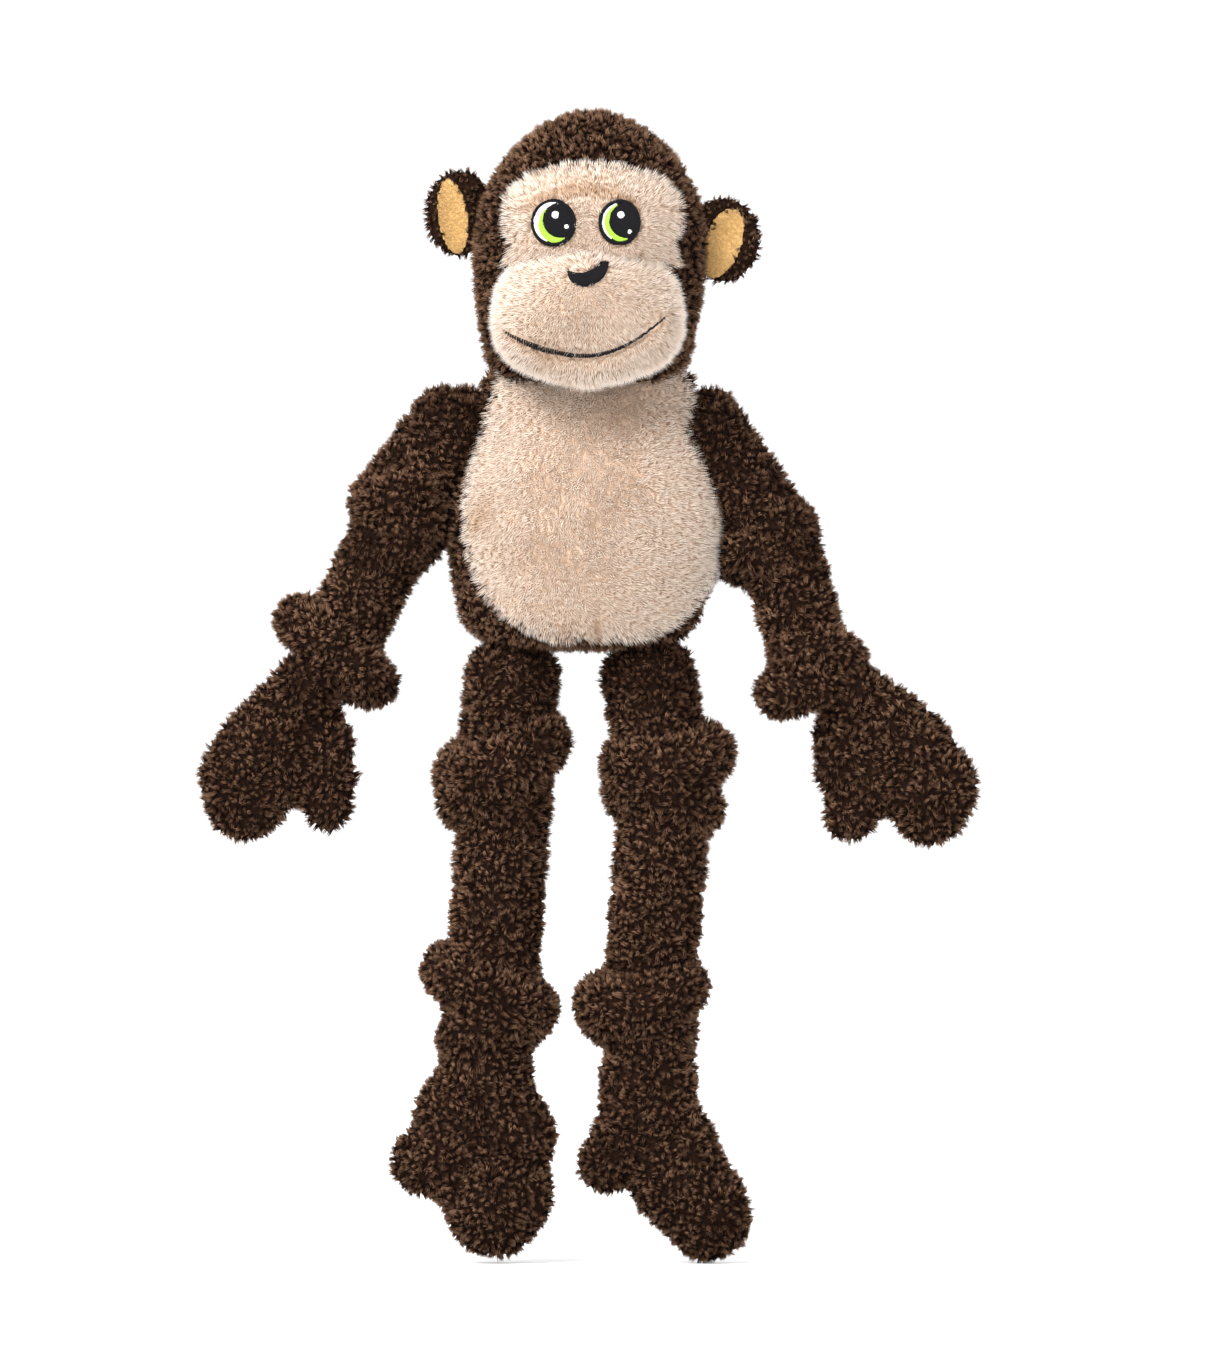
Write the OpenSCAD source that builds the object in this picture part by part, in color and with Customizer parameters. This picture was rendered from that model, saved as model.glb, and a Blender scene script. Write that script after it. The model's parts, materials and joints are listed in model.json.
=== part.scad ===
// Stuffed monkey with knotted arms and legs.
// Millimetres. The origin is the middle of the neck seam, +Z runs up through the head,
// and the face looks towards -Y. Left and right are the toy's own: its left is +X.

/* [Head] */
// Widest radius of the head
head_r = 52; // [48:1:54]
// Height of the crown above the neck seam
head_top = 118; // [112:1:122]
// Height of the head's widest level
head_mid = 56; // [52:1:60]
// Height of the underside of the head
head_low = 3; // [3:0.5:4]
// Radius of the stuffed neck
neck_r = 20; // [18:0.5:21]
// Height of the eyes
eye_z = 66; // [64:1:68]
// Distance of each eye from the middle of the face
eye_x = 13.5; // [12.5:0.5:15]
// Outer radius of the eye embroidery
eye_r = 9.2; // [8:0.1:9.5]
// Radius of the ears
ear_r = 21; // [19:0.5:22]
// Thickness of an ear without its lining
ear_t = 8; // [6:0.5:9]
// Height of the left ear's middle
left_ear_z = 58; // [56:1:62]
// Height of the right ear's middle
right_ear_z = 69; // [66:1:71]

/* [Body] */
// Radius of the belly, front to back
belly_r = 40; // [36:1:41]
// Height of the belly's middle
belly_z = -72; // [-74:1:-70]
// Height of the seat under the belly
seat_z = -118; // [-119:1:-114]
// Distance of each hip from the middle
hip_x = 30; // [29:0.5:31]
// Height of the hips
hip_z = -123; // [-125:1:-122]
// Distance of each shoulder from the middle
shoulder_x = 53; // [52:0.5:54]
// Height of the shoulders
shoulder_z = -16; // [-18:1:-14]

/* [Arms] */
// Shoulder to the upper knot
upper_arm = 58; // [57:1:61]
// Upper knot to the lower knot
forearm = 63; // [60:1:66]
// Radius of the arm knots
arm_knot_r = 23; // [22:0.5:24]
// Radius of the arm sleeves
arm_sleeve_r = 17; // [15:0.5:18]
// Lean of the left upper arm away from straight down
left_upper_arm_lean = 37; // [36:1:40]
// Lean of the left forearm
left_forearm_lean = 11; // [10:1:20]
// Lean of the left hand
left_hand_lean = 43; // [30:1:48]
// Lean of the right upper arm
right_upper_arm_lean = 38; // [36:1:40]
// Lean of the right forearm
right_forearm_lean = 22; // [10:1:24]
// Lean of the right hand
right_hand_lean = 35; // [30:1:48]

/* [Legs] */
// Hip to the upper knot
thigh = 49; // [48:1:52]
// Upper knot to the lower knot
shin = 99; // [94:1:104]
// Radius of the upper leg knots
knee_knot_r = 29; // [27:0.5:29.5]
// Radius of the lower leg knots
ankle_knot_r = 27; // [25:0.5:28]
// Radius of the leg sleeves
leg_sleeve_r = 20; // [18:0.5:21]
// Lean of the left thigh away from straight down
left_thigh_lean = 6; // [5:1:10]
// Lean of the left shin
left_shin_lean = -7; // [-7:1:4]
// Lean of the left foot
left_foot_lean = 18; // [0:1:22]
// Lean of the right thigh
right_thigh_lean = 9; // [5:1:10]
// Lean of the right shin
right_shin_lean = 4; // [-4:1:6]
// Lean of the right foot
right_foot_lean = 0; // [-4:1:4]

/* [Cloth] */
// Thickness of the pile fabric with its backing
cloth = 2.5; // [2:0.1:3]
// How far the face and tummy panels stand proud of the brown cover
panel_rise = 1; // [0.5:0.1:1.5]
// Thickness of the embroidery
thread = 1.2; // [0.8:0.1:1.5]
// Clearance between parts that bend against each other
gap = 0.6; // [0.5:0.1:0.8]
// Depth of the flat on the back that the toy lies on
back_flat = 1.2; // [1:0.1:1.5]

/* [Hidden] */
$fn = 48;
COARSE = 24;                 // facets of the rounded hulls
MITT_FACETS = 20;            // facets of the lobes of hands and feet
FILL_GAP = 0.3;              // room between stuffing and cloth
ARM_GATHER_R = 13;           // unstuffed sleeve end at the shoulder seam
LEG_GATHER_R = 14;           // unstuffed sleeve end at the hip seam
ARM_END_R = 10.5;            // sleeve radius where it meets the shoulder gather
LEG_END_R = 11;              // sleeve radius where it meets the hip gather
EAR_Y = 0;                   // front face of an ear
EAR_CLEAR = 3;               // room between an ear and the head, so that the ear can fold
LINING_CLEAR = 6;            // the same for its lining, which folds further in
MUZZLE_Y = 43;               // how far the middle of the muzzle lies in front of the neck
BROWN = [0.24, 0.17, 0.13];
BEIGE = [0.86, 0.78, 0.72];
TAN = [0.85, 0.70, 0.44];
BLACK = [0.09, 0.09, 0.10];
WHITE = [0.96, 0.96, 0.95];
LIME = [0.66, 0.84, 0.20];
FILL = [0.93, 0.93, 0.91];

// A point at a distance from another, at a lean away from straight down.
// side is 1 on the toy's left and -1 on its right.
function below(from, dist, lean, side) = from + dist * [side * sin(lean), 0, -cos(lean)];

LEFT_ARM = let(a = [shoulder_x, 0, shoulder_z],
               b = below(a, upper_arm, left_upper_arm_lean, 1),
               c = below(b, forearm, left_forearm_lean, 1)) [a, b, c];
RIGHT_ARM = let(a = [-shoulder_x, 0, shoulder_z],
                b = below(a, upper_arm, right_upper_arm_lean, -1),
                c = below(b, forearm, right_forearm_lean, -1)) [a, b, c];
LEFT_LEG = let(a = [hip_x, 0, hip_z],
               b = below(a, thigh, left_thigh_lean, 1),
               c = below(b, shin, left_shin_lean, 1)) [a, b, c];
RIGHT_LEG = let(a = [-hip_x, 0, hip_z],
                b = below(a, thigh, right_thigh_lean, -1),
                c = below(b, shin, right_shin_lean, -1)) [a, b, c];

// Each lobe point is [distance from the knot, offset away from the body, radius]
PALM = [[20, -2, 15], [62, 11, 15], [78, -5, 14], [56, -14, 14]];
THUMB = [[26, -13, 12.5], [56, -36, 12.5]];
LEFT_SOLE = [[30, 0, 20], [66, -2, 17], [98, 2, 16]];
LEFT_HEEL = [[48, -4, 15], [68, -22, 15]];
RIGHT_SOLE = [[30, 0, 20], [72, -13, 18], [96, -2, 16]];
RIGHT_HEEL = [[50, 4, 15], [70, 27, 14.5]];

// ---- Forms shared by covers, panels and stuffing; grow moves the surface out ----

module ball(at, r) {
    translate(at) sphere(r);
}

module head_form(grow = 0) {
    crown = [for (t = [90:-7.5:0])
        [(head_r + grow) * cos(t), head_mid + (head_top + grow - head_mid) * sin(t)]];
    jaw = [for (t = [7.5:7.5:90])
        [(head_r + grow) * pow(cos(t), 0.75), head_mid - (head_mid - head_low + grow) * pow(sin(t), 0.75)]];
    rotate(90) rotate_extrude() polygon(concat(crown, jaw));
}

module muzzle_form(grow = 0) {
    hull() {
        for (side = [-1, 1]) translate([side * 21, 2 - MUZZLE_Y, 23]) sphere(22 + grow, $fn = COARSE);
        translate([0, -MUZZLE_Y, 35]) sphere(21 + grow, $fn = COARSE);
        translate([0, -MUZZLE_Y, 14]) sphere(19 + grow, $fn = COARSE);
    }
}

module body_form(grow = 0) {
    hull() for (side = [-1, 1]) {
        translate([side * 24, 0, -22]) sphere(20 + grow, $fn = COARSE);
        translate([side * 18, 0, belly_z]) sphere(belly_r + grow, $fn = COARSE);
        translate([side * 12, 0, seat_z + 38]) sphere(38 + grow, $fn = COARSE);
    }
}

// A flat outline, drawn with X across and Y up, carried towards the front from a start depth
module to_front(start = 0) {
    translate([0, -start, 0]) rotate([90, 0, 0]) linear_extrude(90 - start) children();
}

module brow_outline() {
    hull() {
        for (side = [-1, 1]) {
            translate([2 + side * 22, 77]) circle(17, $fn = COARSE);
            translate([2 + side * 28, 60]) circle(10, $fn = COARSE);
        }
    }
}

module tummy_outline() {
    hull() {
        for (side = [-1, 1]) {
            translate([side * 32, -14]) circle(10, $fn = COARSE);
            translate([side * 20, -60]) circle(36, $fn = COARSE);
            translate([side * 4, -78]) circle(36, $fn = COARSE);
        }
    }
}

// What is taken from the body where each limb and the neck turn against it
module body_sockets() {
    sphere(neck_r + gap);
    for (side = [-1, 1]) {
        ball([side * shoulder_x, 0, shoulder_z], ARM_GATHER_R + gap);
        ball([side * hip_x, 0, hip_z], LEG_GATHER_R + gap);
    }
}

// ---- Head ----

module head_cover() color(BROWN) difference() {
    head_form();
    head_form(-cloth);
    to_front() brow_outline();
    muzzle_form();
    sphere(neck_r + gap);
}

module brow_panel() color(BEIGE) difference() {
    intersection() {
        to_front() brow_outline();
        head_form(panel_rise);
    }
    head_form(-cloth);
    muzzle_form();
}

module muzzle_panel() color(BEIGE) difference() {
    muzzle_form();
    muzzle_form(-cloth);
    head_form(-cloth);
}

module head_stuffing() color(FILL) difference() {
    union() {
        head_form(-cloth - FILL_GAP);
        muzzle_form(-cloth - FILL_GAP);
    }
    sphere(neck_r + gap + FILL_GAP);
}

module neck() color(BROWN) sphere(neck_r);

// Embroidery lies on the brow panel as thin layers side by side
module on_brow() intersection() {
    to_front() children();
    difference() {
        head_form(panel_rise + thread);
        head_form(panel_rise);
    }
}

module on_muzzle() intersection() {
    to_front(MUZZLE_Y) children();
    difference() {
        muzzle_form(thread);
        muzzle_form();
    }
}

module eye_place(side) {
    translate([side * eye_x, eye_z]) children();
}

// The iris and pupil both look up and towards the toy's left
module iris_disc() translate([0.8, 0.5]) circle(eye_r - 2);
module pupil_disc() translate([1.9, 1.1]) circle(eye_r - 3.8);
module glint_discs() {
    translate([-0.8, 3.2]) circle(1.7);
    translate([4.2, -1.8]) circle(0.9);
}

module eye_outline(side) color(BLACK) on_brow() eye_place(side) difference() {
    circle(eye_r);
    circle(eye_r - 1);
}
module eye_white(side) color(WHITE) on_brow() eye_place(side) difference() {
    circle(eye_r - 1);
    iris_disc();
}
module eye_iris(side) color(LIME) on_brow() eye_place(side) difference() {
    iris_disc();
    pupil_disc();
}
module eye_pupil(side) color(BLACK) on_brow() eye_place(side) difference() {
    pupil_disc();
    glint_discs();
}
module eye_glints(side) color(WHITE) on_brow() eye_place(side) glint_discs();

module left_eye_outline() eye_outline(1);
module left_eye_white() eye_white(1);
module left_eye_iris() eye_iris(1);
module left_eye_pupil() eye_pupil(1);
module left_eye_glints() eye_glints(1);
module right_eye_outline() eye_outline(-1);
module right_eye_white() eye_white(-1);
module right_eye_iris() eye_iris(-1);
module right_eye_pupil() eye_pupil(-1);
module right_eye_glints() eye_glints(-1);

module nose_embroidery() color(BLACK) on_muzzle() difference() {
    translate([0, 42]) circle(8);
    translate([0, 49.5]) circle(7.5);
}

module mouth_embroidery() color(BLACK) on_muzzle() {
    smile_r = 50;
    smile_z = 59;
    intersection() {
        translate([0, smile_z]) difference() {
            circle(smile_r + 0.9, $fn = 96);
            circle(smile_r - 0.9, $fn = 96);
        }
        translate([-33, 0]) square([66, 24]);
    }
}

// An ear is a flat round pad beside the head, with its lining on the front
module ear_disc(side, z, r, y, t) {
    translate([side * (head_r + 2), y, z]) rotate([-90, 0, 0]) cylinder(h = t, r = r);
}
module ear_back(side, z) color(BROWN) difference() {
    ear_disc(side, z, ear_r, EAR_Y, ear_t);
    head_form(EAR_CLEAR);
}
module ear_lining(side, z) color(TAN) difference() {
    ear_disc(side, z, ear_r - 6, EAR_Y - cloth, cloth);
    head_form(LINING_CLEAR);
}
module left_ear_back() ear_back(1, left_ear_z);
module left_ear_lining() ear_lining(1, left_ear_z);
module right_ear_back() ear_back(-1, right_ear_z);
module right_ear_lining() ear_lining(-1, right_ear_z);

// ---- Body ----

module back_cover() color(BROWN) difference() {
    body_form();
    body_form(-cloth);
    to_front() tummy_outline();
    body_sockets();
    translate([-belly_r, belly_r - back_flat, belly_z - belly_r]) cube(2 * belly_r);
}

module tummy_panel() color(BEIGE) difference() {
    intersection() {
        to_front() tummy_outline();
        body_form(panel_rise);
    }
    body_form(-cloth);
    body_sockets();
}

module body_stuffing() color(FILL) difference() {
    body_form(-cloth - FILL_GAP);
    body_sockets();
}

// ---- Limbs ----

// Turns what is drawn along -Z, from the origin, to run from one point towards another
module along(from, to) {
    d = to - from;
    translate(from) rotate([0, -atan2(d.x, -d.z), 0]) children();
}

// A sleeve runs between two round ends and is hollowed by each of them
module sleeve_core(from, to, r_from, r_to, r_ball_from, r_ball_to) {
    difference() {
        along(from, to) mirror([0, 0, 1]) rotate(90) cylinder(h = norm(to - from), r1 = r_from, r2 = r_to);
        ball(from, r_ball_from + gap);
        ball(to, r_ball_to);
    }
}

module sleeve(from, to, r_from, r_to, r_ball_from, r_ball_to) color(BROWN) difference() {
    sleeve_core(from, to, r_from, r_to, r_ball_from, r_ball_to);
    sleeve_core(from, to, r_from - cloth, r_to - cloth, 0, 0);
}

module sleeve_fill(from, to, r_from, r_to, r_ball_from, r_ball_to) color(FILL)
    sleeve_core(from, to, r_from - cloth - FILL_GAP, r_to - cloth - FILL_GAP,
                r_ball_from + FILL_GAP, r_ball_to + FILL_GAP);

// A knot is a ball with the crease of its wrap running round it at a slant
module knot(at, r, slant) color(BROWN) difference() {
    ball(at, r);
    for (turn = [slant, slant + 62])
        translate(at) rotate([0, turn, 0]) rotate_extrude() translate([r + 0.6, 0]) circle(2.2);
}

module lobe_point(p, side) translate([side * p[1], 0, -p[0]]) children();

// The flat palm or sole is one hull of round lobes, and the thumb or heel is another
module mitt_form(flat, stub, side, grow) {
    for (lobes = [flat, stub])
        hull() for (p = lobes) lobe_point(p, side) sphere(p[2] + grow, $fn = MITT_FACETS);
}

module mitt_place(at, lean, side) translate(at) rotate([0, -side * lean, 0]) children();

module mitt_cover(at, lean, side, flat, stub, knot_r) color(BROWN) difference() {
    mitt_place(at, lean, side) difference() {
        mitt_form(flat, stub, side, 0);
        mitt_form(flat, stub, side, -cloth);
    }
    ball(at, knot_r + gap);
}

module mitt_fill(at, lean, side, flat, stub, knot_r) color(FILL) difference() {
    mitt_place(at, lean, side) mitt_form(flat, stub, side, -cloth - FILL_GAP);
    ball(at, knot_r + gap + FILL_GAP);
}

module gather(at, r) color(BROWN) ball(at, r);

module upper_sleeve(arm) sleeve(arm[0], arm[1], ARM_END_R, arm_sleeve_r, ARM_GATHER_R, arm_knot_r);
module upper_fill(arm) sleeve_fill(arm[0], arm[1], ARM_END_R, arm_sleeve_r, ARM_GATHER_R, arm_knot_r);
module lower_sleeve(arm) sleeve(arm[1], arm[2], arm_sleeve_r, arm_sleeve_r, arm_knot_r, arm_knot_r);
module lower_fill(arm) sleeve_fill(arm[1], arm[2], arm_sleeve_r, arm_sleeve_r, arm_knot_r, arm_knot_r);
module thigh_sleeve(leg) sleeve(leg[0], leg[1], LEG_END_R, leg_sleeve_r, LEG_GATHER_R, knee_knot_r);
module thigh_fill(leg) sleeve_fill(leg[0], leg[1], LEG_END_R, leg_sleeve_r, LEG_GATHER_R, knee_knot_r);
module shin_sleeve(leg) sleeve(leg[1], leg[2], leg_sleeve_r, leg_sleeve_r, knee_knot_r, ankle_knot_r);
module shin_fill(leg) sleeve_fill(leg[1], leg[2], leg_sleeve_r, leg_sleeve_r, knee_knot_r, ankle_knot_r);

module left_arm_gather() gather(LEFT_ARM[0], ARM_GATHER_R);
module left_upper_sleeve() upper_sleeve(LEFT_ARM);
module left_upper_sleeve_stuffing() upper_fill(LEFT_ARM);
module left_elbow_knot() knot(LEFT_ARM[1], arm_knot_r, 25);
module left_lower_sleeve() lower_sleeve(LEFT_ARM);
module left_lower_sleeve_stuffing() lower_fill(LEFT_ARM);
module left_wrist_knot() knot(LEFT_ARM[2], arm_knot_r, -40);
module left_hand_cover() mitt_cover(LEFT_ARM[2], left_hand_lean, 1, PALM, THUMB, arm_knot_r);
module left_hand_stuffing() mitt_fill(LEFT_ARM[2], left_hand_lean, 1, PALM, THUMB, arm_knot_r);

module right_arm_gather() gather(RIGHT_ARM[0], ARM_GATHER_R);
module right_upper_sleeve() upper_sleeve(RIGHT_ARM);
module right_upper_sleeve_stuffing() upper_fill(RIGHT_ARM);
module right_elbow_knot() knot(RIGHT_ARM[1], arm_knot_r, -25);
module right_lower_sleeve() lower_sleeve(RIGHT_ARM);
module right_lower_sleeve_stuffing() lower_fill(RIGHT_ARM);
module right_wrist_knot() knot(RIGHT_ARM[2], arm_knot_r, 40);
module right_hand_cover() mitt_cover(RIGHT_ARM[2], right_hand_lean, -1, PALM, THUMB, arm_knot_r);
module right_hand_stuffing() mitt_fill(RIGHT_ARM[2], right_hand_lean, -1, PALM, THUMB, arm_knot_r);

module left_leg_gather() gather(LEFT_LEG[0], LEG_GATHER_R);
module left_thigh_sleeve() thigh_sleeve(LEFT_LEG);
module left_thigh_stuffing() thigh_fill(LEFT_LEG);
module left_knee_knot() knot(LEFT_LEG[1], knee_knot_r, 30);
module left_shin_sleeve() shin_sleeve(LEFT_LEG);
module left_shin_stuffing() shin_fill(LEFT_LEG);
module left_ankle_knot() knot(LEFT_LEG[2], ankle_knot_r, -20);
module left_foot_cover()
    mitt_cover(LEFT_LEG[2], left_foot_lean, 1, LEFT_SOLE, LEFT_HEEL, ankle_knot_r);
module left_foot_stuffing()
    mitt_fill(LEFT_LEG[2], left_foot_lean, 1, LEFT_SOLE, LEFT_HEEL, ankle_knot_r);

module right_leg_gather() gather(RIGHT_LEG[0], LEG_GATHER_R);
module right_thigh_sleeve() thigh_sleeve(RIGHT_LEG);
module right_thigh_stuffing() thigh_fill(RIGHT_LEG);
module right_knee_knot() knot(RIGHT_LEG[1], knee_knot_r, -30);
module right_shin_sleeve() shin_sleeve(RIGHT_LEG);
module right_shin_stuffing() shin_fill(RIGHT_LEG);
module right_ankle_knot() knot(RIGHT_LEG[2], ankle_knot_r, 25);
module right_foot_cover()
    mitt_cover(RIGHT_LEG[2], right_foot_lean, -1, RIGHT_SOLE, RIGHT_HEEL, ankle_knot_r);
module right_foot_stuffing()
    mitt_fill(RIGHT_LEG[2], right_foot_lean, -1, RIGHT_SOLE, RIGHT_HEEL, ankle_knot_r);

head_cover();
brow_panel();
muzzle_panel();
nose_embroidery();
mouth_embroidery();
left_eye_outline();
left_eye_white();
left_eye_iris();
left_eye_pupil();
left_eye_glints();
right_eye_outline();
right_eye_white();
right_eye_iris();
right_eye_pupil();
right_eye_glints();
left_ear_back();
left_ear_lining();
right_ear_back();
right_ear_lining();
head_stuffing();
neck();
back_cover();
tummy_panel();
body_stuffing();
left_arm_gather();
left_upper_sleeve();
left_upper_sleeve_stuffing();
left_elbow_knot();
left_lower_sleeve();
left_lower_sleeve_stuffing();
left_wrist_knot();
left_hand_cover();
left_hand_stuffing();
right_arm_gather();
right_upper_sleeve();
right_upper_sleeve_stuffing();
right_elbow_knot();
right_lower_sleeve();
right_lower_sleeve_stuffing();
right_wrist_knot();
right_hand_cover();
right_hand_stuffing();
left_leg_gather();
left_thigh_sleeve();
left_thigh_stuffing();
left_knee_knot();
left_shin_sleeve();
left_shin_stuffing();
left_ankle_knot();
left_foot_cover();
left_foot_stuffing();
right_leg_gather();
right_thigh_sleeve();
right_thigh_stuffing();
right_knee_knot();
right_shin_sleeve();
right_shin_stuffing();
right_ankle_knot();
right_foot_cover();
right_foot_stuffing();
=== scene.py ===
import json
import math
import random

import bpy
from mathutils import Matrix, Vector

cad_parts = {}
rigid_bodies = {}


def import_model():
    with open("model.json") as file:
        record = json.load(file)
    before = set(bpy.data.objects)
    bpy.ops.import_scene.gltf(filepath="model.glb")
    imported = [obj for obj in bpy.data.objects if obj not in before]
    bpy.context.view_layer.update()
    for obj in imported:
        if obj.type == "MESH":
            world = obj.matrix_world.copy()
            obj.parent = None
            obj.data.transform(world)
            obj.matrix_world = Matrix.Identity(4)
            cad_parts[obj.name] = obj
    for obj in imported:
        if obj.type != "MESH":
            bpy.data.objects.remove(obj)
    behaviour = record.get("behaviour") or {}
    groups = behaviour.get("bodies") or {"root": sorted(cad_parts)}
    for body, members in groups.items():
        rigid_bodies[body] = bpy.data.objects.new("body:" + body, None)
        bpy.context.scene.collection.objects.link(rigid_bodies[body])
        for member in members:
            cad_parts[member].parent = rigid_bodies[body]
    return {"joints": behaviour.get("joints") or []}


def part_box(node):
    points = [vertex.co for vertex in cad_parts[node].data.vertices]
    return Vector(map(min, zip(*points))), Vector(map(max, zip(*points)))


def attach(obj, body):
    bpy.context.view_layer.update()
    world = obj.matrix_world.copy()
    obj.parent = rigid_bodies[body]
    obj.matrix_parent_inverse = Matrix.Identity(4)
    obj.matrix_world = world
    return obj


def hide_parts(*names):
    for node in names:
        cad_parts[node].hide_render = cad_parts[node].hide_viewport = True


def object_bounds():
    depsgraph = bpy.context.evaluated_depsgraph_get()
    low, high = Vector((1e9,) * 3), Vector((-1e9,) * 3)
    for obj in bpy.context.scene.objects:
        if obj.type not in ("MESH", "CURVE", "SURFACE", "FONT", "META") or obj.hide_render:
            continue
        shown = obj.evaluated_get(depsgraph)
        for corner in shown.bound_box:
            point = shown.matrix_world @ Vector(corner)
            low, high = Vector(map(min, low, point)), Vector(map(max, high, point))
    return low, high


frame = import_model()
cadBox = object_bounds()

mm = 0.001
scene = bpy.context.scene
jointAt = {joint["name"]: Vector(joint["pos_m"]) for joint in frame["joints"]}
print("frame loaded")


# Camera and lamps

view = {"distance": 8.0, "aside": 11.5 * mm, "above": 2 * mm, "tall": 0.5857, "film": 24}


def placeCamera():
    low, high = cadBox
    middle = (low + high) / 2
    spot = (middle.x + view["aside"], middle.y - view["distance"], middle.z + view["above"])
    bpy.ops.object.camera_add(location=spot, rotation=(math.radians(90), 0, 0))
    camera = bpy.context.object
    camera.data.sensor_fit = "VERTICAL"
    camera.data.sensor_height = view["film"]
    camera.data.lens = view["film"] * view["distance"] / view["tall"]
    scene.camera = camera


lamps = {
    "key": {"at": (-1.3, -2.2, 2.0), "soft": 30, "strength": 4.2},
    "rim": {"at": (1.0, 1.8, 1.6), "soft": 40, "strength": 1.0},
}


def placeLamps():
    low, high = cadBox
    middle = (low + high) / 2
    for name, lamp in lamps.items():
        spot = Vector(lamp["at"])
        facing = (middle - spot).to_track_quat("-Z", "Y").to_euler()
        bpy.ops.object.light_add(type="SUN", location=spot, rotation=facing)
        light = bpy.context.object
        light.name = name
        light.data.angle = math.radians(lamp["soft"])
        light.data.energy = lamp["strength"]


# Nodes, for the materials and for the pile

class Amount:
    def __init__(self, recipe, socket):
        self.recipe = recipe
        self.socket = socket

    def out(self, name):  # another output of the same node
        return Amount(self.recipe, self.socket.node.outputs[name])

    def maths(self, operation, first, second):
        return self.recipe.node("ShaderNodeMath", {"operation": operation}, {0: first, 1: second})

    def __add__(self, other):
        return self.maths("ADD", self, other)

    __radd__ = __add__

    def __sub__(self, other):
        return self.maths("SUBTRACT", self, other)

    def __rsub__(self, other):
        return self.maths("SUBTRACT", other, self)

    def __mul__(self, other):
        return self.maths("MULTIPLY", self, other)

    __rmul__ = __mul__


class Recipe:
    def __init__(self, tree):
        self.tree = tree

    def node(self, kind, settings=None, sockets=None):
        made = self.tree.nodes.new(kind)
        for key, value in (settings or {}).items():
            if key == "stops":
                self.setStops(made.color_ramp, value)
            else:
                setattr(made, key, value)
        for key, value in (sockets or {}).items():
            if isinstance(value, Amount):
                self.tree.links.new(value.socket, made.inputs[key])
            else:
                made.inputs[key].default_value = value
        shown = [socket for socket in made.outputs if socket.enabled]
        return Amount(self, shown[0] if shown else None)

    def setStops(self, ramp, stops):
        for place, colour in stops[1:-1]:
            ramp.elements.new(place)
        for element, (place, colour) in zip(ramp.elements, stops):
            element.position = place
            element.color = (*colour, 1)


def newMaterial(name, shown):
    material = bpy.data.materials.new(name)
    material.use_nodes = True
    material.node_tree.nodes.clear()
    material.diffuse_color = (*shown, 1)
    return material, Recipe(material.node_tree)


def finishMaterial(recipe, **sockets):
    named = {key.replace("_", " "): value for key, value in sockets.items()}
    shader = recipe.node("ShaderNodeBsdfPrincipled", {}, named)
    recipe.node("ShaderNodeOutputMaterial", {}, {"Surface": shader})


# Pile: each fibre is coloured from root to tip, darker at the root partly in its own colour and partly as
# painted shade deep in the pile, and each tuft has its own shade

brownPile = {
    # the near-black root is partly the cloth's own colour and partly painted shade between the tufts
    "root": (0.006, 0.002, 0.001),
    "middle": (0.042, 0.019, 0.010),
    "tip": (0.200, 0.112, 0.068),
    "dark": (0.42, 0.36, 0.32),
    "light": (1.75, 1.82, 1.85),
    "sheen": 0.02,
    "sheenTint": (0.75, 0.50, 0.35, 1),
}  # dark and light multiply the colour of the darkest and lightest tufts
beigePile = {
    "root": (0.60, 0.43, 0.31),
    "middle": (0.86, 0.72, 0.60),
    "tip": (0.93, 0.84, 0.76),
    "dark": (0.70, 0.57, 0.45),
    "light": (1.03, 1.04, 1.05),
    "sheen": 0.03,
    "sheenTint": (1.0, 0.9, 0.8, 1),
}
velourPile = {
    "root": (0.46, 0.27, 0.10),
    "middle": (0.72, 0.48, 0.22),
    "tip": (0.88, 0.65, 0.35),
    "dark": (0.80, 0.74, 0.66),
    "light": (1.08, 1.07, 1.05),
    "sheen": 0.05,
    "sheenTint": (1.0, 0.85, 0.6, 1),
}
pileGloss = {"rough": 0.85, "specular": 0.06, "sheenRough": 0.5}


def pileMaterial(name, look):
    material, recipe = newMaterial(name, look["middle"])
    along = recipe.node("ShaderNodeUVMap", {"uv_map": "OFBake"})
    parts = recipe.node("ShaderNodeSeparateXYZ", {}, {"Vector": along})  # X is the shade, Y is root to tip
    fibre = recipe.node("ShaderNodeValToRGB", {"stops": [
        (0.08, look["root"]), (0.45, look["middle"]), (0.85, look["tip"])]}, {"Fac": parts.out("Y")})
    shade = recipe.node("ShaderNodeValToRGB", {"stops": [
        (0.0, look["dark"]), (0.5, (1.0, 1.0, 1.0)), (1.0, look["light"])]}, {"Fac": parts.out("X")})
    colour = recipe.node("ShaderNodeMix", {"data_type": "RGBA", "blend_type": "MULTIPLY"},
                         {"Factor": 1.0, 6: fibre, 7: shade})
    finishMaterial(recipe, Base_Color=colour, Roughness=pileGloss["rough"],
                   Specular_IOR_Level=pileGloss["specular"], Sheen_Weight=look["sheen"],
                   Sheen_Roughness=pileGloss["sheenRough"], Sheen_Tint=look["sheenTint"])
    return material


# The cloth that the pile stands on, woven, and darker than the pile

backing = {"clouds": 90.0, "loops": 1100.0, "bump": 0.5, "deep": 0.4, "rough": 0.95, "specular": 0.05}


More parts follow.
